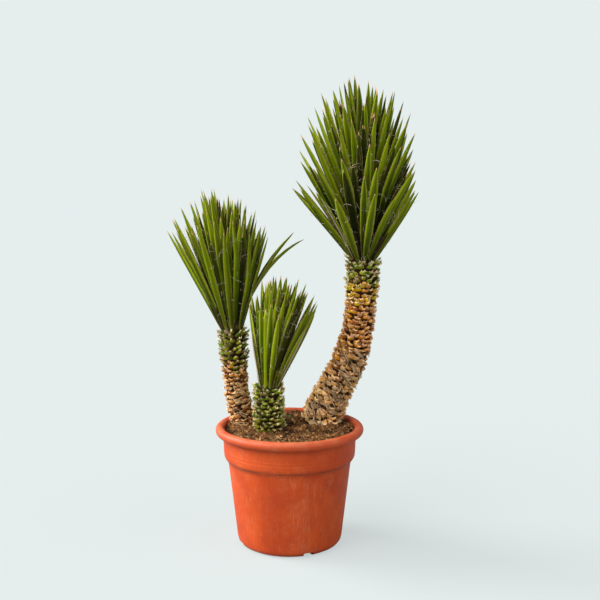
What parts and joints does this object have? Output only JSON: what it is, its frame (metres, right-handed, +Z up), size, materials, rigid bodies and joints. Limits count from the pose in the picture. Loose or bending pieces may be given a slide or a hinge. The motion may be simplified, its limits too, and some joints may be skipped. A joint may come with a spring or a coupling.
{
  "type": "potted yucca",
  "caption": "Potted yucca: upright stems of cut leaf bases, each with a head of stiff pointed leaves, in a round tapered nursery pot filled with soil.",
  "frame": {"origin": "on the floor, at the middle of the pot's underside", "axes": "+Z up along the pot's axis; -Y towards the front of the picture; +X to the right, towards the tallest stem"},
  "size_m": [0.5554, 0.3481, 1.0079],
  "materials": {
    "pot_plastic": "terracotta-coloured plastic with pale dusty scuffs",
    "soil": "loose brown coir and peat",
    "dry_leaf_bases": "dry tan and brown cut leaf bases",
    "green_leaf_bases": "fresh green leaf bases with pale cut ends",
    "leaf": "satin yellow-green blades with brown tips and white margin threads",
    "leaf_scrap": "cut piece of green leaf"
  },
  "bodies": {
    "root": {"pot": "pot_plastic", "soil": "soil", "tall_stem": "dry_leaf_bases", "tall_collar": "green_leaf_bases", "tall_leaves": "leaf", "left_stem": "dry_leaf_bases", "left_collar": "green_leaf_bases", "left_leaves": "leaf", "short_collar": "green_leaf_bases", "short_leaves": "leaf", "leaf_scrap": "leaf_scrap"}
  },
  "joints": []
}
